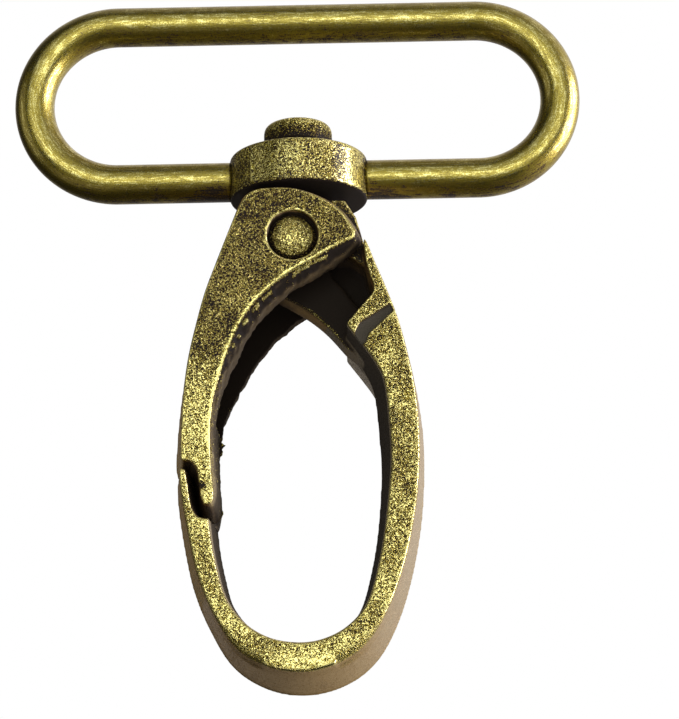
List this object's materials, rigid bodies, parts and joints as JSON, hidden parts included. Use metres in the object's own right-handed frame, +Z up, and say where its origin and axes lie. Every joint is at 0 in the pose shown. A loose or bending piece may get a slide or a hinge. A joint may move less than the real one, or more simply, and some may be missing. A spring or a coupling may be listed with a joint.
{
  "type": "swivel trigger snap hook",
  "caption": "Swivel snap hook: an oval wire strap ring on a turning collar, with a cast hook closed by a spring-loaded trigger gate.",
  "frame": {"origin": "centre of the strap ring's top bar, on the swivel axis", "axes": "+Z up along the swivel axis, from the hook towards the ring; X along the ring's bars; the front face, with the domed rivet head, faces -Y"},
  "size_m": [0.0444, 0.0108, 0.055],
  "materials": {
    "wire_brass": "antique brass plating on drawn steel wire, fine streaks along the wire, dark in the pits",
    "cast_brass": "antique brass plating on a zinc casting, speckled with dark patina, edges rubbed bright",
    "gate_brass": "antique brass plating on a zinc casting, speckled, polished towards the tip",
    "pin_brass": "antique brass, domed heads rubbed bright",
    "spring_steel": "blackened spring wire"
  },
  "bodies": {
    "strap_ring": {"ring": "wire_brass", "swivel_collar": "cast_brass"},
    "hook": {"swivel_pin": "pin_brass", "hook_body": "cast_brass", "pivot_rivet": "pin_brass", "gate_spring": "spring_steel"},
    "gate": {"gate": "gate_brass"}
  },
  "joints": [
    {"name": "swivel", "type": "hinge", "parent": "strap_ring", "child": "hook", "pos_m": [0, 0, -0.0132], "axis": [0, 0, 1], "continuous": true},
    {"name": "gate_pivot", "type": "hinge", "parent": "hook", "child": "gate", "pos_m": [-0.00045, 0, -0.01932], "axis": [0, -1, 0], "range_deg": [0, 25], "stiffness_Nm_per_rad": 0.025, "springref_deg": -34.38, "deforming": ["gate_spring"]}
  ]
}
